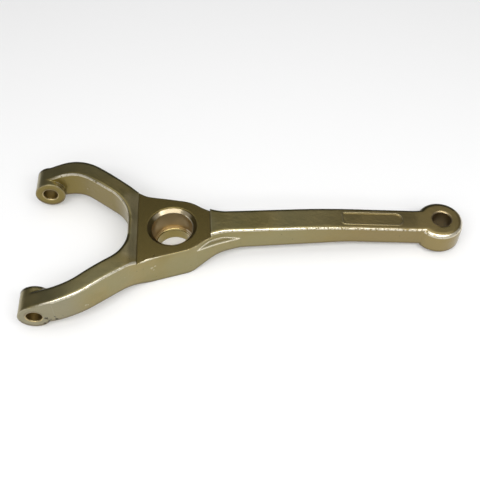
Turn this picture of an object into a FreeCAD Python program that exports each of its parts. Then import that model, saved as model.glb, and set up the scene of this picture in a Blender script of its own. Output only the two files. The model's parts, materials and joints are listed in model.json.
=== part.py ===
import FreeCAD, Part
import math
import os
from FreeCAD import Vector

# Clutch fork: one steel forging with a two-tined fork, a bored hub and a bent arm.
# Millimetres. The origin is on the pivot bore's axis, in the plane of the hub's underside.
# +X runs along the arm to the rod eye, +Y is to one side and +Z is up.

# Hub and its stepped pivot bore
HUB_HEIGHT = 26.2
BORE_RADIUS = 13.8
BORE_DEPTH = 17.2
BORE_CHAMFER = 2.9
STEP_RADIUS = 11.5
STEP_CHAMFER = 0.7
PAD_LEFT = -22.9
PAD_RIGHT = 25.9

# Hub sides, in plan
HUB_SIDE_HALF_WIDTH = 23.5
HUB_SIDE_ANGLE = 13.4
HUB_BACK_RADIUS = 48.0
HUB_FRONT_X = 13.1
HUB_FRONT_RADIUS = 24.0
NECK_ANGLE = 37.0
NECK_RADIUS = 31.0

# Gussets low on each side of the neck
GUSSET_X = 30.9
GUSSET_HALF_WIDTH = 12.2
GUSSET_RADIUS = 150.0
GUSSET_HUB_ANGLE = 21.8
GUSSET_ARM_ANGLE = 11.9
GUSSET_HEIGHT = 23.2
GUSSET_CHAMFER = 2.4
GUSSET_SINK = 3.0

# Fork, in plan
FORK_WIDTH = 120.2
TINE_THICKNESS = 12.8
TINE_ANGLE = 37.0
TINE_ROOT_X = -19.8
SHOULDER_RADIUS = 45.0
CROTCH_X = -29.4
CROTCH_RADIUS = 28.0

# Pin bosses at the tips of the fork
BOSS_X = -87.6
BOSS_HEIGHT = 15.1
BOSS_RADIUS = 10.4
BOSS_LENGTH = 16.8
BOSS_HOLE_RADIUS = 5.0
BOSS_HOLE_CHAMFER = 0.5
FACE_STOCK = 0.3
FACE_END_X = -74.5

# Fork, from the side
CROWN_RADIUS = 80.0
TINE_RISE_ANGLE = 21.0
TINE_FALL_ANGLE = 11.3
ARCH_X = -60.0
ARCH_HEIGHT = 11.5
ARCH_RADIUS = 60.0
ARCH_ANGLE = 9.0
HEEL_X = -33.0
HEEL_HEIGHT = 8.0
HEEL_RADIUS = 20.0
HUB_FOOT_LEFT = -17.0
HUB_FOOT_RIGHT = 13.0
HUB_FOOT_RADIUS = 18.0
WEB_X = -28.5
WEB_RISE = 4.5
WEB_RADIUS = 12.0
WEB_STOCK = 1.8
STOCK_RUN = 3.0
STOCK_RADIUS = 12.0

# Arm
ARM_ROOT_X = 54.0
ARM_HALF_WIDTH = 9.1
ARM_RISE = 3.6
ARM_BEND_X = 104.0
ARM_BEND_TOP = 27.6
ARM_BEND_RADIUS = 450.0
ARM_FOOT_X = 30.0
ARM_UNDERSIDE = 9.8
ARM_UNDER_BEND_X = 118.0
ARM_UNDER_BEND = 10.6
ARM_UNDER_RADIUS = 90.0
ARM_TIP_UNDERSIDE = 3.0

# Rod eye
EYE_HOLE_X = 183.8
EYE_X = 182.6
EYE_RADIUS = 15.7
EYE_TOP = 20.4
EYE_UNDERSIDE = 1.4
EYE_EDGE_RADIUS = 3.8
EYE_FOOT_CHAMFER = 2.6
EYE_HOLE_RADIUS = 6.2
EYE_HOLE_CHAMFER = 0.8
EYE_BLEND_RADIUS = 30.0

# Name panel sunk in the arm's top, left blank
PANEL_START = 114.5
PANEL_END = 157.0
PANEL_HALF_WIDTH = 5.6
PANEL_START_RADIUS = 2.0
PANEL_END_RADIUS = 4.5
PANEL_RIM = 0.9
PANEL_RIM_HEIGHT = 0.3
PANEL_DEPTH = 0.5

# Rounding that the dies leave on every forged edge
EDGE_RADIUS = 2.0

# How far cutters reach past the steel, and how near counts as touching
CLEAR = 5.0
NEAR = 0.1


def tan(degrees):
    return math.tan(math.radians(degrees))


def meet(point_a, slope_a, point_b, slope_b):
    """Where two lines of given slopes cross, in their own plane."""
    x = (point_b[1] - slope_b * point_b[0] - point_a[1] + slope_a * point_a[0]) / (slope_a - slope_b)
    return (x, point_a[1] + slope_a * (x - point_a[0]))


def rounded_wire(corners, place):
    """A wire through corners given as (x, y, radius), each corner rounded by its radius."""
    count = len(corners)
    points = [Vector(x, y, 0) for x, y, radius in corners]
    edges = []
    joints = []
    for index in range(count):
        here = points[index]
        radius = corners[index][2]
        back = (points[index - 1] - here).normalize()
        ahead = (points[(index + 1) % count] - here).normalize()
        if radius == 0:
            joints.append((here, None, here))
            continue
        half = back.getAngle(ahead) / 2
        reach = radius / math.tan(half)
        middle = here + (back + ahead).normalize() * (radius / math.sin(half) - radius)
        joints.append((here + back * reach, middle, here + ahead * reach))
    for index in range(count):
        start, middle, end = joints[index]
        if middle is not None:
            edges.append(Part.Arc(place(start), place(middle), place(end)).toShape())
        edges.append(Part.LineSegment(place(end), place(joints[(index + 1) % count][0])).toShape())
    return Part.Wire(edges)


def plan_solid(corners, low, high):
    """A plan outline as a solid between two heights."""
    face = Part.Face(rounded_wire(corners, lambda point: Vector(point.x, point.y, low)))
    return face.extrude(Vector(0, 0, high - low))


def mirrored_outline(half):
    """Closes an outline given for +Y, from the arm's tip to the crotch, about the XZ plane."""
    other = [(x, -y, radius) for x, y, radius in reversed(half)]
    return half + other


def fork_outline():
    """Half of the plan outline, anticlockwise from the arm's tip."""
    half_width = FORK_WIDTH / 2 + FACE_STOCK
    tine_slope = -tan(TINE_ANGLE)
    hub_slope = -tan(HUB_SIDE_ANGLE)
    hub_back = (TINE_ROOT_X, HUB_SIDE_HALF_WIDTH + hub_slope * TINE_ROOT_X)
    shoulder = meet(hub_back, tine_slope, (0, half_width), 0)
    hub_front = (HUB_FRONT_X, HUB_SIDE_HALF_WIDTH + hub_slope * HUB_FRONT_X)
    neck = meet(hub_front, -tan(NECK_ANGLE), (ARM_ROOT_X, ARM_HALF_WIDTH), 0)
    inner_y = half_width - TINE_THICKNESS
    across = TINE_THICKNESS / math.cos(math.radians(TINE_ANGLE))
    inner_shoulder = meet((shoulder[0], half_width - across), tine_slope, (0, inner_y), 0)
    crotch_y = inner_y + tine_slope * (CROTCH_X - inner_shoulder[0])
    return [
        (EYE_X, ARM_HALF_WIDTH, 0),
        (*neck, NECK_RADIUS),
        (*hub_front, HUB_FRONT_RADIUS),
        (*hub_back, HUB_BACK_RADIUS),
        (*shoulder, SHOULDER_RADIUS),
        (BOSS_X - 2 * BOSS_RADIUS, half_width, 0),
        (BOSS_X - 2 * BOSS_RADIUS, inner_y, 0),
        (*inner_shoulder, SHOULDER_RADIUS - TINE_THICKNESS),
        (CROTCH_X, crotch_y, CROTCH_RADIUS),
    ]


def gusset_outline():
    """Half of the plan outline of the low gussets, whose ends sink into the hub and the arm."""
    hub_end = HUB_FRONT_X - GUSSET_SINK
    arm_end = ARM_ROOT_X + 2 * GUSSET_SINK
    return [
        (arm_end, GUSSET_HALF_WIDTH - (arm_end - GUSSET_X) * tan(GUSSET_ARM_ANGLE), 0),
        (GUSSET_X, GUSSET_HALF_WIDTH, GUSSET_RADIUS),
        (hub_end, GUSSET_HALF_WIDTH + (GUSSET_X - hub_end) * tan(GUSSET_HUB_ANGLE), 0),
    ]


def side_profile():
    """The side view of the forging before it is milled, from the hub's underside."""
    rise = math.radians(TINE_RISE_ANGLE)
    touch = (BOSS_X - BOSS_RADIUS * math.sin(rise), BOSS_HEIGHT + BOSS_RADIUS * math.cos(rise))
    tip_x = BOSS_X - 2 * BOSS_RADIUS
    tip_top = touch[1] - (touch[0] - tip_x) * tan(TINE_RISE_ANGLE)
    web = (WEB_X, HUB_HEIGHT + WEB_RISE)
    crown = meet(touch, tan(TINE_RISE_ANGLE), web, -tan(TINE_FALL_ANGLE))
    web_slope = (WEB_RISE - WEB_STOCK) / (WEB_X - PAD_LEFT)
    stock = (PAD_LEFT + STOCK_RUN, HUB_HEIGHT + WEB_STOCK + STOCK_RUN * web_slope)
    return [
        (HUB_FOOT_RIGHT, 0, HUB_FOOT_RADIUS),
        (ARM_FOOT_X, ARM_UNDERSIDE, HUB_FOOT_RADIUS),
        (ARM_UNDER_BEND_X, ARM_UNDER_BEND, ARM_UNDER_RADIUS),
        (EYE_X, ARM_TIP_UNDERSIDE, 0),
        (EYE_X, EYE_TOP, 0),
        (EYE_X - EYE_RADIUS, EYE_TOP, EYE_BLEND_RADIUS),
        (ARM_BEND_X, ARM_BEND_TOP, ARM_BEND_RADIUS),
        (PAD_RIGHT, HUB_HEIGHT + ARM_RISE, 0),
        (*stock, STOCK_RADIUS),
        (*web, WEB_RADIUS),
        (*crown, CROWN_RADIUS),
        (tip_x, tip_top, 0),
        (tip_x, ARCH_HEIGHT - (ARCH_X - tip_x) * tan(ARCH_ANGLE), 0),
        (ARCH_X, ARCH_HEIGHT, ARCH_RADIUS),
        (HEEL_X, HEEL_HEIGHT, HEEL_RADIUS),
        (HUB_FOOT_LEFT, 0, HUB_FOOT_RADIUS),
    ]


def upright(point):
    return Vector(point.x, 0, point.y)


def side_solid(corners):
    """A side view, given in X and Z, as a slab across the whole fork."""
    face = Part.Face(rounded_wire(corners, upright))
    face.translate(Vector(0, -FORK_WIDTH, 0))
    return face.extrude(Vector(0, 2 * FORK_WIDTH, 0))


def boss_cylinder(radius, start, length):
    return Part.makeCylinder(radius, length, Vector(BOSS_X, start, BOSS_HEIGHT), Vector(0, 1, 0))


def beyond_tips():
    """Everything past the rounded ends of the tines."""
    touch = BOSS_X - BOSS_RADIUS * math.sin(math.radians(TINE_RISE_ANGLE))
    run = 3 * BOSS_RADIUS
    block = Part.makeBox(
        run, 2 * FORK_WIDTH, 2 * FORK_WIDTH, Vector(BOSS_X - run, -FORK_WIDTH, BOSS_HEIGHT - FORK_WIDTH))
    above = Part.makeBox(run, 2 * FORK_WIDTH, FORK_WIDTH, Vector(touch, -FORK_WIDTH, BOSS_HEIGHT))
    return block.cut(boss_cylinder(BOSS_RADIUS, -FORK_WIDTH, 2 * FORK_WIDTH)).cut(above)


def edge_normals(solid, edge):
    """The outward normals of the faces that meet along an edge, at its middle."""
    middle = edge.valueAt((edge.FirstParameter + edge.LastParameter) / 2)
    normals = []
    for face in solid.ancestorsOfType(edge, Part.Face):
        u, v = face.Surface.parameter(middle)
        normals.append(face.normalAt(u, v))
    return normals


def rim_edges(solid, low_x, high_x):
    """The edges where the upright walls meet the surfaces of the side view."""
    found = []
    for edge in solid.Edges:
        normals = edge_normals(solid, edge)
        if len(normals) != 2 or not low_x < edge.CenterOfMass.x < high_x:
            continue
        level = [abs(normal.y) < 0.01 for normal in normals]
        steep = [abs(normal.z) > 0.5 for normal in normals]
        if level[0] != level[1] or (level[0] and level[1] and steep[0] != steep[1]):
            found.append(edge)
    return found


def gussets():
    """The low gussets on each side of the neck, with a sloping top facet."""
    plan = plan_solid(mirrored_outline(gusset_outline()), -CLEAR, GUSSET_HEIGHT)
    solid = plan.common(side_solid(side_profile()))
    start = HUB_FRONT_X - GUSSET_SINK + NEAR
    end = ARM_ROOT_X + 2 * GUSSET_SINK - NEAR
    upper = [edge for edge in rim_edges(solid, start, end) if edge.CenterOfMass.z > GUSSET_HEIGHT - NEAR]
    solid = solid.makeChamfer(GUSSET_CHAMFER, upper)
    lower = [edge for edge in rim_edges(solid, start, end) if edge.CenterOfMass.z < GUSSET_HEIGHT - CLEAR]
    return solid.makeFillet(EDGE_RADIUS, lower)


def forged_body():
    """Fork, hub and arm as the dies leave them, with every edge rounded."""
    plan = plan_solid(mirrored_outline(fork_outline()), -CLEAR, 2 * HUB_HEIGHT)
    body = plan.common(side_solid(side_profile())).cut(beyond_tips())
    return body.makeFillet(EDGE_RADIUS, rim_edges(body, BOSS_X - 2 * BOSS_RADIUS, EYE_X - NEAR))


def boss(side):
    """A pin boss that stands proud of its tine's inner wall."""
    inner = FORK_WIDTH / 2 - BOSS_LENGTH
    outer = FORK_WIDTH / 2 + FACE_STOCK
    start = inner if side > 0 else -outer
    return boss_cylinder(BOSS_RADIUS, start, outer - inner)


def rod_eye():
    """The eye's disc, well rounded on top and bevelled underneath."""
    disc = Part.makeCylinder(EYE_RADIUS, EYE_TOP - EYE_UNDERSIDE, Vector(EYE_X, 0, EYE_UNDERSIDE))
    rims = [edge for edge in disc.Edges if isinstance(edge.Curve, Part.Circle)]
    rims.sort(key=lambda edge: edge.CenterOfMass.z)
    disc = disc.makeFillet(EYE_EDGE_RADIUS, rims[1:])
    foot = [edge for edge in disc.Edges if edge.CenterOfMass.z < EYE_UNDERSIDE + NEAR]
    return disc.makeChamfer(EYE_FOOT_CHAMFER, foot)


def flare(radius, chamfer, mouth, outwards):
    """A chamfer cutter at a hole's mouth, widening towards the outside."""
    start = mouth - outwards * chamfer
    return Part.makeCone(radius, radius + chamfer + CLEAR, chamfer + CLEAR, start, outwards)


def chamfered_hole(radius, chamfer, centre, axis, length):
    """A through hole with a chamfer at each mouth, as a cutter."""
    start = centre - axis * (length / 2)
    end = centre + axis * (length / 2)
    hole = Part.makeCylinder(radius, length + 2 * CLEAR, start - axis * CLEAR, axis)
    return hole.fuse([flare(radius, chamfer, start, -axis), flare(radius, chamfer, end, axis)])


def pivot_bore():
    """A large bore from the pad down to a ledge, then a smaller one through the underside."""
    up = Vector(0, 0, 1)
    ledge = Vector(0, 0, HUB_HEIGHT - BORE_DEPTH)
    large = Part.makeCylinder(BORE_RADIUS, BORE_DEPTH + CLEAR, ledge, up)
    small = Part.makeCylinder(STEP_RADIUS, ledge.z + 2 * CLEAR, -up * CLEAR, up)
    mouth = flare(BORE_RADIUS, BORE_CHAMFER, Vector(0, 0, HUB_HEIGHT), up)
    below_pad = Part.makeCylinder(BORE_RADIUS, BORE_DEPTH, -up * CLEAR, up)
    lip = flare(STEP_RADIUS, STEP_CHAMFER, ledge, up).common(below_pad)
    return large.fuse([small, mouth, lip])


def milling_cuts():
    """The pad round the pivot bore and the outer faces of the bosses."""
    width = 2 * FORK_WIDTH
    pad = Part.makeBox(PAD_RIGHT - PAD_LEFT, width, HUB_HEIGHT, Vector(PAD_LEFT, -FORK_WIDTH, HUB_HEIGHT))
    far = Vector(FACE_END_X - width, FORK_WIDTH / 2, BOSS_HEIGHT - FORK_WIDTH)
    near = Vector(FACE_END_X - width, -FORK_WIDTH / 2 - width, BOSS_HEIGHT - FORK_WIDTH)
    return [pad, Part.makeBox(width, width, width, far), Part.makeBox(width, width, width, near)]


def panel_prism(inset):
    """The name panel's outline, drawn in by an inset, as a tall prism."""
    start = PANEL_START + inset
    end = PANEL_END - inset
    half_width = PANEL_HALF_WIDTH - inset
    start_radius = PANEL_START_RADIUS - inset / 2
    end_radius = PANEL_END_RADIUS - inset / 2
    corners = [
        (start, -half_width, start_radius),
        (end, -half_width, end_radius),
        (end, half_width, end_radius),
        (start, half_width, start_radius),
    ]
    return plan_solid(corners, EYE_TOP - CLEAR, 2 * HUB_HEIGHT)


def with_name_panel(body):
    """Raises a thin rim on the arm's top and sinks the blank floor inside it."""
    profile = side_solid(side_profile())
    rim_top = profile.translated(Vector(0, 0, PANEL_RIM_HEIGHT))
    floor = profile.translated(Vector(0, 0, -PANEL_DEPTH))
    rim = panel_prism(0).common(rim_top)
    sunk = panel_prism(PANEL_RIM).cut(floor)
    return body.fuse(rim).cut(sunk)


def clutch_fork():
    body = forged_body().fuse([boss(1), boss(-1)])
    body = body.fuse(gussets()).fuse(rod_eye())
    body = with_name_panel(body.cut(milling_cuts()))
    holes = [pivot_bore()]
    boss_middle = FORK_WIDTH / 2 - BOSS_LENGTH / 2
    for side in (1, -1):
        centre = Vector(BOSS_X, side * boss_middle, BOSS_HEIGHT)
        holes.append(chamfered_hole(
            BOSS_HOLE_RADIUS, BOSS_HOLE_CHAMFER, centre, Vector(0, 1, 0), BOSS_LENGTH))
    eye_middle = Vector(EYE_HOLE_X, 0, (EYE_TOP + EYE_UNDERSIDE) / 2)
    holes.append(chamfered_hole(
        EYE_HOLE_RADIUS, EYE_HOLE_CHAMFER, eye_middle, Vector(0, 0, 1), EYE_TOP - EYE_UNDERSIDE))
    return body.cut(holes)


if __name__ == "__main__":
    os.makedirs("parts", exist_ok=True)
    clutch_fork().exportStep("parts/clutch_fork.step")
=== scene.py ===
import json
import math

import bpy
from mathutils import Matrix, Vector


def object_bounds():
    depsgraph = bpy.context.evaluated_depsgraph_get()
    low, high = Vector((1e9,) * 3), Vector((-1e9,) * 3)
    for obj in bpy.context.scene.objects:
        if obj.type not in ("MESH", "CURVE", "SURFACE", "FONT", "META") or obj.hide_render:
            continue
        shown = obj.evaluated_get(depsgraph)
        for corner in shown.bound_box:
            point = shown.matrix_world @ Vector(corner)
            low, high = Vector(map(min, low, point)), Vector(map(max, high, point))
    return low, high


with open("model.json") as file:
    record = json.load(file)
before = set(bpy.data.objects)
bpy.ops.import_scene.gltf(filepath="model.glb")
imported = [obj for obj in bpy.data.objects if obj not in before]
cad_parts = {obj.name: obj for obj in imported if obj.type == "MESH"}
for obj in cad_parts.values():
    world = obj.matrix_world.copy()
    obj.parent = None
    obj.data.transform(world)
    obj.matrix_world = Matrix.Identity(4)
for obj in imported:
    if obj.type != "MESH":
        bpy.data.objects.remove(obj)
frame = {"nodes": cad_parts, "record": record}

CAD_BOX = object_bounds()

# The forging's own places and sizes, in metres, as the frame gives them
MOUNTS = {mount["name"]: mount for mount in frame["record"]["mounts"]}
PAD_HEIGHT = MOUNTS["hub_pad"]["pos_m"][2]
EYE_CENTRE = MOUNTS["rod_eye"]["pos_m"]
EYE_HOLE_RADIUS = MOUNTS["rod_eye"]["dims"]["r_mm"] / 1000
BORE_RADIUS = MOUNTS["pivot_counterbore"]["dims"]["r_mm"] / 1000
STEP_CHAMFER = 0.0007
LEDGE_HEIGHT = MOUNTS["pivot_bore"]["dims"]["length_mm"] / 1000 + STEP_CHAMFER
TIP_HOLE = MOUNTS["tine_hole_left"]["pos_m"]
TIP_HOLE_RADIUS = MOUNTS["tine_hole_left"]["dims"]["r_mm"] / 1000
FORK_SIDE = CAD_BOX[1][1]

# Where the milled surfaces end
PAD_ENDS = (-0.0230, 0.0260)
BORE_CHAMFER_RADIUS = 0.0168
BORE_CHAMFER_DEPTH = 0.0030
BOSS_FACE_END = -0.0745

# Studio
CAMERA_AIM = (0.0451, -0.0098, 0.0200)
CAMERA_DISTANCE = 0.505
CAMERA_TURN = -2.449
CAMERA_TILT = 51.602
CAMERA_ROLL = -0.828
CAMERA_LENS = 56.48
CAMERA_SENSOR = 36
CAMERA_NEAREST = 0.01
FLOOR_SIZE = 3.0
FLOOR_GAP = 0.0002
FLOOR_TONE = 0.82
FLOOR_ROUGHNESS = 0.9
FLOOR_GLOW = 0.10
ROOM_FRONT = 0.45
ROOM_BACK = 0.20

# Soft lamps: place, aim, size, watts
LAMPS = {
    "front_lamp": ((0.05, -0.50, 0.76), (0.05, 0, 0), (1.3, 0.2), 6.6),
    "low_front_lamp": ((0.05, -0.71, 0.56), (0.05, 0, 0), (1.3, 0.12), 1.5),
    "roof_lamp": ((0.05, 0.17, 0.9), (0.05, 0.17, 0), (1.2, 0.75), 2.8),
}

# Plating colours, and tones that paint highlights, glints and shade over them
OLIVE = (0.258, 0.212, 0.082, 1)
STRAW = (0.312, 0.250, 0.104, 1)
GREEN_GREY = (0.266, 0.240, 0.118, 1)
WARM_GOLD = (0.280, 0.206, 0.078, 1)
MILLED = (0.222, 0.168, 0.052, 1)
BORE_BROWN = (0.360, 0.265, 0.128, 1)
LIT_HOLE_BROWN = (0.430, 0.340, 0.160, 1)
SHADED_EYE_HOLE_BROWN = (0.300, 0.230, 0.120, 1)
THROAT_SHADE_GOLD = (0.200, 0.150, 0.036, 1)
SEAT_GOLD = (0.335, 0.270, 0.092, 1)
MOUTH_HIGHLIGHT_GOLD = (0.480, 0.400, 0.260, 1)
MOUTH_SHADE = (0.110, 0.082, 0.026, 1)
BRIGHT_HIGHLIGHT_AND_WEAR = (0.800, 0.740, 0.590, 1)
SHADE_DARK = (0.034, 0.032, 0.012, 1)
SHADE_BROWN = (0.105, 0.072, 0.030, 1)
TIP_LIGHT_GREY = (0.262, 0.244, 0.168, 1)
SHADE_AND_GRIME = (0.050, 0.038, 0.020, 1)

# Handling marks on the skin: place, radius
NOTCHES = (
    ((-0.0801, -0.0603, 0.0132), 0.0014),
    ((-0.0822, -0.0603, 0.0078), 0.0010),
    ((-0.0737, -0.0603, 0.0122), 0.0011),
    ((-0.0745, -0.0603, 0.0150), 0.0006),
    ((-0.0788, -0.0603, 0.0108), 0.0009),
    ((-0.0796, -0.0603, 0.0092), 0.0007),
    ((-0.0776, -0.0603, 0.0122), 0.0006),
    ((-0.0128, -0.0108, PAD_HEIGHT), 0.0005),
    ((-0.0120, -0.0241, PAD_HEIGHT), 0.0006),
)
SCUFFS = (
    ((-0.0551, -0.0541, 0.0173), 0.0008),
    ((-0.0536, -0.0538, 0.0166), 0.0006),
    ((-0.0139, -0.0270, 0.0165), 0.0010),
    ((-0.0118, -0.0263, 0.0175), 0.0007),
    ((-0.0128, -0.0268, 0.0140), 0.0006),
)


def inside(measure, low, high, soft=0.00008):
    """The two borders of a range of one measure."""
    return (measure, low - soft, low), (measure, high + soft, high)


# Regions of the forging. Each border is a measure, where the region starts and where it is
# whole. x, y, z, side and the radii are in metres; the others are parts of a surface normal.
# Regions bounded by face_y or broad_y tone one side only. They paint light and shade, so the
# dressed fork isn't symmetric, though its shape is.
REGIONS = {
    # Machined
    "pad": (*inside("z", PAD_HEIGHT - 0.00005, PAD_HEIGHT + 0.00005), *inside("x", *PAD_ENDS),
            ("face_z", 0.97, 0.995), ("radius", BORE_RADIUS, BORE_RADIUS + 0.0001)),
    "bore": (("radius", BORE_RADIUS + 0.0004, BORE_RADIUS + 0.0001),
             ("z", LEDGE_HEIGHT - 0.0002, LEDGE_HEIGHT)),
    "seat": (("radius", BORE_RADIUS + 0.0004, BORE_RADIUS + 0.0001),
             ("z", LEDGE_HEIGHT, LEDGE_HEIGHT - 0.0002)),
    "chamfer": (("radius", BORE_CHAMFER_RADIUS + 0.0001, BORE_CHAMFER_RADIUS),
                ("radius", BORE_RADIUS, BORE_RADIUS + 0.0002), ("face_z", 0.97, 0.90),
                ("z", PAD_HEIGHT - BORE_CHAMFER_DEPTH - 0.0002, PAD_HEIGHT - BORE_CHAMFER_DEPTH)),
    # Painted highlight: the part of the bore chamfer facing -y
    "chamfer_highlight_side": (("face_y", -0.32, -0.50), ("radius", 0.0162, 0.0158)),
    "boss_face": (("side", FORK_SIDE - 0.0002, FORK_SIDE - 0.0001),
                  ("x", BOSS_FACE_END + 0.0020, BOSS_FACE_END)),
    "tip_hole": (("tip_radius", TIP_HOLE_RADIUS + 0.0008, TIP_HOLE_RADIUS + 0.0006),),
    "eye_hole": (("eye_radius", EYE_HOLE_RADIUS + 0.0011, EYE_HOLE_RADIUS + 0.0009),),
    # Forged
    # Painted shade: the far tine's inner wall by the crotch, on its front-facing side only, is darkened
    "throat_shade": (("face_y", -0.2, -0.5), ("y", 0.015, 0.025), ("x", -0.015, -0.030)),
    # Painted light: the web's faces turned towards +x beside the pad are lightened
    "web": (("face_x", 0.08, 0.25), ("face_z", 0.80, 0.88), ("side", 0.030, 0.024),
            *inside("x", -0.0310, PAD_ENDS[0], 0.003)),
    "gusset": (("x", 0.058, 0.055), ("z", 0.0240, 0.0236), ("x", 0.008, 0.010)),
    # The gussets' sloping tops: their normal is crowned, and their colour is darkened as painted shade
    "gusset_top": (("soft_z", 0.28, 0.60), ("soft_z", 0.92, 0.80)),
    # Painted highlight: rounded rims turned up and away from +y are lightened
    "near_rim_highlight": (("face_z", 0.16, 0.40), ("face_z", 0.90, 0.80), ("face_y", 0.12, 0.0),
                 ("x", -0.090, -0.076), ("z", 0.010, 0.014)),
    "torn_rim": (("face_y", -0.12, -0.35), ("face_z", 0.12, 0.35),
                 ("x", 0.080, 0.100), ("x", 0.178, 0.168)),
    # Painted shade: rims turned up and towards +y are darkened
    "far_rim_shade": (("broad_y", 0.03, 0.16), ("face_z", 0.15, 0.40)),
    # Painted shade: rims turned downward are darkened
    "foot_rim_shade": (("broad_z", -0.02, -0.16), ("broad_z", -0.80, -0.60)),
    "panel": (("x", 0.108, 0.112), ("side", 0.0070, 0.0064)),
    "arm": (("x", 0.05, 0.15),),
    # Painted shade: the arm's front-facing wall is darkened
    "arm_wall_shade": (("x", 0.08, 0.14), ("x", 0.172, 0.166), ("face_y", -0.5, -0.9)),
    "tines": (("x", -0.020, -0.050),),
    # Painted shade: the tines' upward-facing tops are darkened
    "tine_top_shade": (("x", -0.022, -0.036), ("face_z", 0.70, 0.90)),
    # Painted light: the near tip's front-facing wall is toned a paler grey
    "tip_wall_light": (("x", -0.048, -0.068), ("face_y", -0.5, -0.9), ("y", -0.020, -0.035)),
    "step_line": (*inside("x", BOSS_FACE_END - 0.0002, BOSS_FACE_END + 0.0007),
                  ("y", -FORK_SIDE + 0.0008, -FORK_SIDE + 0.0005), ("z", 0.0150, 0.0115)),
}

# How far off a corner, a crease, a rim, the painted highlights and wear, or the painted shade in hollows is
# felt
SHADING_REACH = 0.0010
CREASE_REACH = 0.0019
RIM_REACH = 0.0032
HIGHLIGHT_AND_WEAR_REACH = 0.0018
HOLLOW_SHADE_REACH = 0.002

# Noise: scale, detail and, where it isn't plain, roughness
DRIFT_NOISE = (21, 2)
MOTTLE_NOISE = (48, 4, 0.6)
RAGGED_NOISE = (1500, 2)
WEAR_NOISE = (560, 3, 0.6)

# Relief: noise scale, detail, depth in metres and, for the tears, roughness
SKIN_RELIEF = ((130, 1, 0.00014), (480, 2, 0.00013), (1500, 2, 0.00006))
TEAR_RELIEF = (900, 3, 0.0007, 0.65)
TEAR_STRETCH = (1.0, 0.45, 0.45)
PIT_DEPTH = 0.00005
NOTCH_DEPTH = 0.00022
SCUFF_DEPTH = 0.00010

# Feed marks: pitch, depth
PAD_FEED = (0.0009, 0.0000016)
BORE_FEED = (0.00045, 0.0000025)
FACE_FEED = (0.0006, 0.0000025)
PAD_SWEEP_CENTRE = (0.004, -0.36, PAD_HEIGHT)

# Scattered spots: cells to a metre, colour channel, share of cells, size
PITS = (260, 0, (0.86, 0.90), (0.05, 0.13))
GLINT_SPOTS = (330, 1, (0.93, 0.95), (0.08, 0.17))

# Painted highlights and wear on edges: how open a corner is, where the noise breaks it off and how softly
CORNER_OPENNESS = (0.90, 0.62)
WEAR_BREAKS = (0.39, 0.48)
WEAR_BREAK_BELOW = 0.10
WEAR_BREAK_ABOVE = 0.08
HOLLOW_OPENNESS = (0.7, 0.3)
CREASE_BEND = (0.995, 0.965)

# How ragged the handling marks are, and where their borders fade, in radii
MARK_RAGGED = 2.2
MARK_BORDER = (1.15, 0.6)

# How far the gussets' sloping tops are crowned towards level
FACET_LIFT = 2.2

# Gloss
SKIN_ROUGHNESS = (0.30, 0.39)
COAT_WEIGHT = 0.25
COAT_ROUGHNESS = 0.14


class Board:
    """Shorthand for wiring one shader tree."""

    def __init__(self, tree):
        self.tree = tree

    def feed(self, socket, value):
        if isinstance(value, bpy.types.NodeSocket):
            self.tree.links.new(value, socket)
        elif value is not None:
            socket.default_value = value

    def node(self, kind, *values, **settings):
        node = self.tree.nodes.new(kind)
        for name, setting in settings.items():
            setattr(node, name, setting)
        for socket, value in zip(node.inputs, values):
            self.feed(socket, value)
        return node

    def math(self, operation, *values):
        return self.node("ShaderNodeMath", *values, operation=operation).outputs[0]

    def fade(self, value, start, end, low=0.0, high=1.0):
        """Rises smoothly from low to high while the value goes from start to end."""
        node = self.node("ShaderNodeMapRange", value, start, end, low, high, interpolation_type="SMOOTHSTEP")
        return node.outputs[0]

    def blend(self, share, first, second):
        node = self.node("ShaderNodeMix", data_type="RGBA")
        self.feed(node.inputs["Factor"], share)
        self.feed(node.inputs[6], first)
        self.feed(node.inputs[7], second)
        return node.outputs[2]

    def lerp(self, share, first, second):
        node = self.node("ShaderNodeMix", data_type="FLOAT")
        for socket, value in zip(node.inputs, (share, None, first, second)):
            self.feed(socket, value)
        return node.outputs[0]

    def split(self, vector):
        return self.node("ShaderNodeSeparateXYZ", vector).outputs

    def vector(self, operation, *values):
        return self.node("ShaderNodeVectorMath", *values, operation=operation).outputs

    def distance(self, vector, place):
        return self.vector("DISTANCE", vector, place)["Value"]

    def softened(self, reach):
        """The surface normal, rounded over corners within reach."""
        return self.node("ShaderNodeBevel", reach, samples=8).outputs[0]

    def noise(self, vector, scale, detail, roughness=0.5):
        node = self.node("ShaderNodeTexNoise")
        self.feed(node.inputs["Vector"], vector)
        node.inputs["Scale"].default_value = scale
        node.inputs["Detail"].default_value = detail
        node.inputs["Roughness"].default_value = roughness
        return node.outputs["Fac"]

    def rough(self, vector, scale, detail, depth, roughness=0.5):
        """Noise as a height, half of it above the surface and half below."""
        return self.math("MULTIPLY_ADD", self.noise(vector, scale, detail, roughness), depth, -depth / 2)

    def share(self, mask, amount):
        return self.math("MULTIPLY", mask, amount)

    def without(self, mask):
        return self.math("SUBTRACT", 1.0, mask)

    def both(self, *masks):
        result = masks[0]
        for mask in masks[1:]:
            result = self.math("MULTIPLY", result, mask)
        return result

    def either(self, *masks):
        result = masks[0]
        for mask in masks[1:]:
            result = self.math("MAXIMUM", result, mask)
        return result

    def total(self, *values):
        result = values[0]
        for value in values[1:]:
            result = self.math("ADD", result, value)
        return result


def effect_group(name, inputs, outputs):
    """An empty node group, its board and its two ends. Sockets are floats, but for Vector."""
    tree = bpy.data.node_groups.new(name, "ShaderNodeTree")
    for in_out, labels in (("INPUT", inputs), ("OUTPUT", outputs)):
        for label in labels:
            kind = "NodeSocketVector" if label == "Vector" else "NodeSocketFloat"
            tree.interface.new_socket(label, in_out=in_out, socket_type=kind)
    board = Board(tree)
    return tree, board, board.node("NodeGroupInput").outputs, board.node("NodeGroupOutput").inputs


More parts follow.
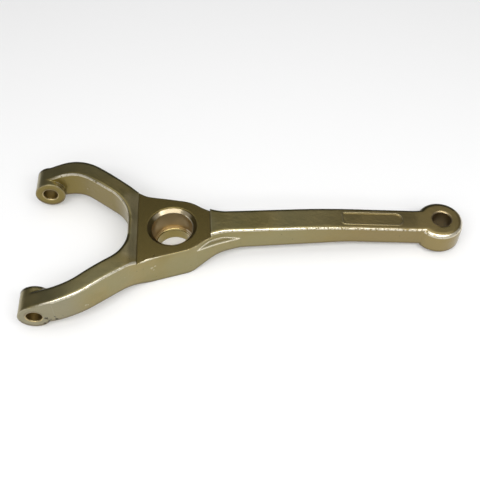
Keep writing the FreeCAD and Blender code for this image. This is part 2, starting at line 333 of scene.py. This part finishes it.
def scattered(board, place, cells_per_metre, channel, chosen, size):
    """Small round spots in the middle of a few cells."""
    cells = board.node("ShaderNodeTexVoronoi")
    board.feed(cells.inputs["Vector"], place)
    cells.inputs["Scale"].default_value = cells_per_metre
    few = board.fade(board.split(cells.outputs["Color"])[channel], *chosen)
    return board.both(few, board.fade(cells.outputs["Distance"], *size, 1, 0))


def forged_skin_group():
    """Relief and mottling of a shot-blasted forging under thin plating, and spots for painted glints."""
    tree, board, given, result = effect_group(
        "forged_skin", ["Vector"], ["Height", "Mottle", "Pits", "Glints"])
    place = given["Vector"]
    pits = scattered(board, place, *PITS)
    relief = [board.rough(place, *layer) for layer in SKIN_RELIEF]
    board.feed(result["Height"], board.total(*relief, board.share(pits, -PIT_DEPTH)))
    board.feed(result["Mottle"], board.noise(place, *MOTTLE_NOISE))
    board.feed(result["Pits"], pits)
    board.feed(result["Glints"], scattered(board, place, *GLINT_SPOTS))
    return tree


def highlight_and_wear_group():
    """Painted highlights and handling wear: sharp corners and rounded rims, broken by noise."""
    tree, board, given, result = effect_group(
        "highlights_and_rubbed_edges", ["Vector", "Reach", "Rounded", "Breaks"], ["Corner", "Rim"])
    thin = board.node("ShaderNodeAmbientOcclusion", samples=8, inside=True, only_local=True)
    board.feed(thin.inputs["Distance"], given["Reach"])
    gaps = board.noise(given["Vector"], *WEAR_NOISE)
    gone = board.math("SUBTRACT", given["Breaks"], WEAR_BREAK_BELOW)
    whole = board.math("ADD", given["Breaks"], WEAR_BREAK_ABOVE)
    kept = board.fade(gaps, gone, whole)
    board.feed(result["Corner"], board.both(board.fade(thin.outputs["AO"], *CORNER_OPENNESS), kept))
    board.feed(result["Rim"], board.both(given["Rounded"], kept))
    return tree


def feed_marks_group():
    """Fine feed marks left by a boring bar or a facing cutter."""
    tree, board, given, result = effect_group("feed_marks", ["Along", "Pitch", "Depth"], ["Height"])
    phase = board.share(board.math("DIVIDE", given["Along"], given["Pitch"]), math.tau)
    board.feed(result["Height"], board.math("MULTIPLY", board.math("SINE", phase), given["Depth"]))
    return tree


def use_group(board, tree, **values):
    node = board.node("ShaderNodeGroup", node_tree=tree)
    for name, value in values.items():
        board.feed(node.inputs[name], value)
    return node.outputs


def spots(board, place, marks, ragged):
    """One mask for a few small marks, with ragged rims."""
    masks = []
    for centre, radius in marks:
        away = board.math("ADD", board.distance(place, centre), board.share(ragged, radius * MARK_RAGGED))
        masks.append(board.fade(away, *(radius * border for border in MARK_BORDER)))
    return board.either(*masks)


def surface_measures(board, place, outward):
    """What the regions are told apart by."""
    x, y, z = board.split(place)
    face_x, face_y, face_z = board.split(outward)
    broad = board.split(board.softened(RIM_REACH))
    tip_axis = board.node("ShaderNodeCombineXYZ", x, 0.0, z).outputs[0]
    eye_axis = board.node("ShaderNodeCombineXYZ", x, y, 0.0).outputs[0]
    return {
        "x": x, "y": y, "z": z, "side": board.math("ABSOLUTE", y),
        "radius": board.distance(eye_axis, (0, 0, 0)),
        "tip_radius": board.distance(tip_axis, (TIP_HOLE[0], 0, TIP_HOLE[2])),
        "eye_radius": board.distance(eye_axis, (EYE_CENTRE[0], 0, 0)),
        "face_x": face_x, "face_y": face_y, "face_z": face_z,
        "broad_y": broad[1], "broad_z": broad[2],
        "soft_z": board.split(board.softened(SHADING_REACH))[2],
    }


def surface_regions(board, place, outward):
    """The surface measures, and a mask for each region, combined ones included."""
    measures = surface_measures(board, place, outward)
    on = {}
    for name, borders in REGIONS.items():
        fades = (board.fade(measures[measure], start, whole) for measure, start, whole in borders)
        on[name] = board.both(*fades)
    on["mouth"] = board.both(on["chamfer"], on["chamfer_highlight_side"])
    on["holes"] = board.either(on["tip_hole"], on["eye_hole"])
    machined = (on[name] for name in ("pad", "bore", "seat", "chamfer", "boss_face", "holes"))
    on["skin"] = board.without(board.either(*machined))
    on["gusset_top"] = board.both(on["gusset_top"], on["gusset"])
    elsewhere = board.both(on["skin"], board.without(on["gusset"]))
    on["near_rim_highlight"] = board.both(on["near_rim_highlight"], elsewhere)
    on["far_rim_shade"] = board.both(on["far_rim_shade"], elsewhere, board.without(on["panel"]))
    on["foot_rim_shade"] = board.both(on["foot_rim_shade"], on["skin"])
    on["specks"] = board.both(on["tines"], on["skin"])
    # Painted highlight along the gussets' creases, where the rounded normal bends away from the true one
    bend = board.vector("DOT_PRODUCT", board.softened(CREASE_REACH), outward)["Value"]
    on["crease"] = board.both(on["gusset"], board.fade(bend, *CREASE_BEND))
    ragged = board.math("SUBTRACT", board.noise(place, *RAGGED_NOISE), 0.5)
    on["notches"] = spots(board, place, NOTCHES, ragged)
    on["scuffs"] = spots(board, place, SCUFFS, ragged)
    return measures, on


def shaded_normal(board, place, measures, on, forged):
    """Relief on a normal that is rounded at corners and crowned on the gussets."""
    marks = feed_marks_group()
    stretched = board.vector("MULTIPLY", place, TEAR_STRETCH)[0]

    def feed_marks(along, pitch, depth):
        return use_group(board, marks, Along=along, Pitch=pitch, Depth=depth)["Height"]

    height = board.total(
        board.both(on["skin"], forged["Height"]),
        board.both(on["torn_rim"], board.rough(stretched, *TEAR_RELIEF)),
        board.both(on["pad"], feed_marks(board.distance(place, PAD_SWEEP_CENTRE), *PAD_FEED)),
        board.both(board.either(on["bore"], on["seat"], on["holes"]), feed_marks(measures["z"], *BORE_FEED)),
        board.both(on["boss_face"], feed_marks(measures["tip_radius"], *FACE_FEED)),
        board.share(on["notches"], -NOTCH_DEPTH),
        board.share(on["scuffs"], -SCUFF_DEPTH))
    lift = board.node("ShaderNodeCombineXYZ", 0.0, 0.0, board.share(on["gusset_top"], FACET_LIFT)).outputs[0]
    crowned = board.vector("ADD", board.softened(SHADING_REACH), lift)[0]
    bump = board.node("ShaderNodeBump")
    board.feed(bump.inputs["Normal"], board.vector("NORMALIZE", crowned)[0])
    bump.inputs["Strength"].default_value = 1.0
    bump.inputs["Distance"].default_value = 1.0
    board.feed(bump.inputs["Height"], height)
    return bump.outputs[0]


def plated_steel():
    """Olive-gold plating over forged skin, with milled, bored and rubbed surfaces, and with painted
    highlights, glints and shade.
    """
    material = bpy.data.materials.new("plated_steel_dressed")
    material.use_nodes = True
    board = Board(material.node_tree)
    shader = material.node_tree.nodes["Principled BSDF"]
    place = board.node("ShaderNodeTexCoord").outputs["Object"]
    outward = board.node("ShaderNodeNewGeometry").outputs["Normal"]
    measures, on = surface_regions(board, place, outward)
    forged = use_group(board, forged_skin_group(), Vector=place)
    # Painted highlights on the near rims and sharp corners, with rubbed plating where the noise breaks them
    lit_and_worn = use_group(board, highlight_and_wear_group(), Vector=place, Reach=HIGHLIGHT_AND_WEAR_REACH, Rounded=on["near_rim_highlight"],
                     Breaks=board.fade(on["torn_rim"], 0.2, 0.8, *WEAR_BREAKS))
    highlight_and_wear = board.either(board.share(lit_and_worn["Rim"], 0.85), board.share(on["crease"], 0.85),
                        board.share(lit_and_worn["Corner"], 0.12))
    # Painted shade: darker rims on the +y side and darker gusset tops
    shaded = board.either(board.share(on["far_rim_shade"], 0.85), board.share(on["gusset_top"], 0.35))
    # Painted shade: hollows found by ambient occlusion are darkened
    hollow = board.node("ShaderNodeAmbientOcclusion", samples=6, only_local=True)
    hollow.inputs["Distance"].default_value = HOLLOW_SHADE_REACH
    hollow_shade = board.both(board.fade(hollow.outputs["AO"], *HOLLOW_OPENNESS), on["skin"])
    board.feed(shader.inputs["Normal"], shaded_normal(board, place, measures, on, forged))

    # Colour, each layer over the last: where, how much, which
    layers = (
        (board.fade(board.noise(place, *DRIFT_NOISE), 0.42, 0.62), 0.75, GREEN_GREY),
        (on["arm"], 0.7, WARM_GOLD),
        # Painted shade on the far tine's inner wall by the crotch
        (on["throat_shade"], 0.9, THROAT_SHADE_GOLD),
        # Painted light on the web beside the pad
        (on["web"], 0.12, BRIGHT_HIGHLIGHT_AND_WEAR),
        # Painted light on the near tip's front-facing wall
        (on["tip_wall_light"], 0.7, TIP_LIGHT_GREY),
        # Painted shade on the tine tops
        (on["tine_top_shade"], 0.13, SHADE_DARK),
        # Painted shade on the arm's front-facing wall
        (on["arm_wall_shade"], 0.16, SHADE_BROWN),
        (on["pad"], 1, MILLED),
        (on["bore"], 1, BORE_BROWN),
        (on["seat"], 1, SEAT_GOLD),
        # The bore chamfer is painted in shade, and its part facing -y in a highlight
        (on["chamfer"], 1, MOUTH_SHADE),
        (on["mouth"], 1, MOUTH_HIGHLIGHT_GOLD),
        # Painted light and shade: the tip holes are toned lighter and the eye hole darker
        (on["tip_hole"], 1, LIT_HOLE_BROWN),
        (on["eye_hole"], 1, SHADED_EYE_HOLE_BROWN),
        # Painted shade on the downward-facing rims
        (on["foot_rim_shade"], 0.75, SHADE_BROWN),
        (shaded, 1, SHADE_DARK),
        # Painted highlights on rims, corners and gusset creases, broken by wear
        (highlight_and_wear, 1, BRIGHT_HIGHLIGHT_AND_WEAR),
        # Painted shade in hollows
        (hollow_shade, 0.4, SHADE_AND_GRIME),
        (forged["Pits"], 0.6, SHADE_AND_GRIME),
        (board.either(on["notches"], on["step_line"]), 0.85, SHADE_AND_GRIME),
        # Painted glints: scattered bright spots on the tines
        (board.both(forged["Glints"], on["specks"]), 0.55, BRIGHT_HIGHLIGHT_AND_WEAR),
        (on["scuffs"], 0.3, BRIGHT_HIGHLIGHT_AND_WEAR),
    )
    colour = board.blend(board.fade(forged["Mottle"], 0.36, 0.66), OLIVE, STRAW)
    for where, amount, tone in layers:
        colour = board.blend(board.share(where, amount), colour, tone)
    board.feed(shader.inputs["Base Color"], colour)

    # Gloss, layered the same way
    finishes = (
        (on["pad"], 0.27),
        (board.either(on["bore"], on["holes"]), 0.33),
        (board.either(on["seat"], on["mouth"]), 0.22),
        (on["boss_face"], 0.34),
        (board.share(highlight_and_wear, 0.5), 0.26),
        (board.either(hollow_shade, on["notches"]), 0.6),
    )
    roughness = board.fade(forged["Mottle"], 0.3, 0.7, *SKIN_ROUGHNESS)
    for where, finish in finishes:
        roughness = board.lerp(where, roughness, finish)
    board.feed(shader.inputs["Roughness"], roughness)
    shader.inputs["Metallic"].default_value = 1.0
    board.feed(shader.inputs["Coat Weight"], board.lerp(on["far_rim_shade"], COAT_WEIGHT, 0.0))
    shader.inputs["Coat Roughness"].default_value = COAT_ROUGHNESS
    return material


def studio_camera():
    turn, tilt, roll = (math.radians(angle) for angle in (CAMERA_TURN, CAMERA_TILT, CAMERA_ROLL))
    back = Vector((math.sin(turn) * math.cos(tilt), -math.cos(turn) * math.cos(tilt), math.sin(tilt)))
    right = Vector((math.cos(turn), math.sin(turn), 0))
    up = back.cross(right)
    rolled_right = right * math.cos(roll) + up * math.sin(roll)
    rolled_up = up * math.cos(roll) - right * math.sin(roll)
    data = bpy.data.cameras.new("studio_camera")
    data.lens = CAMERA_LENS
    data.sensor_width = CAMERA_SENSOR
    data.clip_start = CAMERA_NEAREST
    camera = bpy.data.objects.new("studio_camera", data)
    place = Vector(CAMERA_AIM) + back * CAMERA_DISTANCE
    turned = Matrix((rolled_right, rolled_up, back)).transposed()
    camera.matrix_world = Matrix.Translation(place) @ turned.to_4x4()
    bpy.context.collection.objects.link(camera)
    bpy.context.scene.camera = camera


def soft_lamp(name, place, aim, size, watts):
    data = bpy.data.lights.new(name, "AREA")
    data.shape = "RECTANGLE"
    data.size = size[0]
    data.size_y = size[1]
    data.energy = watts
    lamp = bpy.data.objects.new(name, data)
    lamp.location = place
    lamp.rotation_euler = (Vector(aim) - Vector(place)).to_track_quat("-Z", "Y").to_euler()
    bpy.context.collection.objects.link(lamp)


def studio_world():
    """Pale room, dimmer behind the work than in front of it."""
    world = bpy.data.worlds.new("studio_world")
    world.use_nodes = True
    board = Board(world.node_tree)
    direction = board.split(board.node("ShaderNodeTexCoord").outputs["Generated"])
    level = board.fade(direction[1], -0.5, 0.5, ROOM_FRONT, ROOM_BACK)
    background = world.node_tree.nodes["Background"]
    background.inputs["Color"].default_value = (1, 1, 1, 1)
    board.feed(background.inputs["Strength"], level)
    bpy.context.scene.world = world


def studio_floor():
    """A plain white floor that keeps the work's shadow."""
    mesh = bpy.data.meshes.new("studio_floor")
    half = FLOOR_SIZE / 2
    low = CAD_BOX[0][2] - FLOOR_GAP
    corners = [(-half, -half, low), (half, -half, low), (half, half, low), (-half, half, low)]
    mesh.from_pydata(corners, [], [(0, 1, 2, 3)])
    floor = bpy.data.objects.new("studio_floor", mesh)
    bpy.context.collection.objects.link(floor)
    material = bpy.data.materials.new("studio_floor")
    material.use_nodes = True
    board = Board(material.node_tree)
    shader = material.node_tree.nodes["Principled BSDF"]
    shader.inputs["Base Color"].default_value = (FLOOR_TONE, FLOOR_TONE, FLOOR_TONE, 1)
    shader.inputs["Roughness"].default_value = FLOOR_ROUGHNESS
    ray = board.node("ShaderNodeLightPath").outputs
    seen = board.either(ray["Is Camera Ray"], ray["Is Glossy Ray"], ray["Is Transmission Ray"])
    shader.inputs["Emission Color"].default_value = (1, 1, 1, 1)
    board.feed(shader.inputs["Emission Strength"], board.share(seen, FLOOR_GLOW))
    mesh.materials.append(material)


fork = frame["nodes"]["clutch_fork"]
fork.material_slots[0].material = plated_steel()

studio_camera()
studio_world()
studio_floor()
for lamp_name, lamp_settings in LAMPS.items():
    soft_lamp(lamp_name, *lamp_settings)

bpy.context.scene.view_settings.view_transform = "Standard"
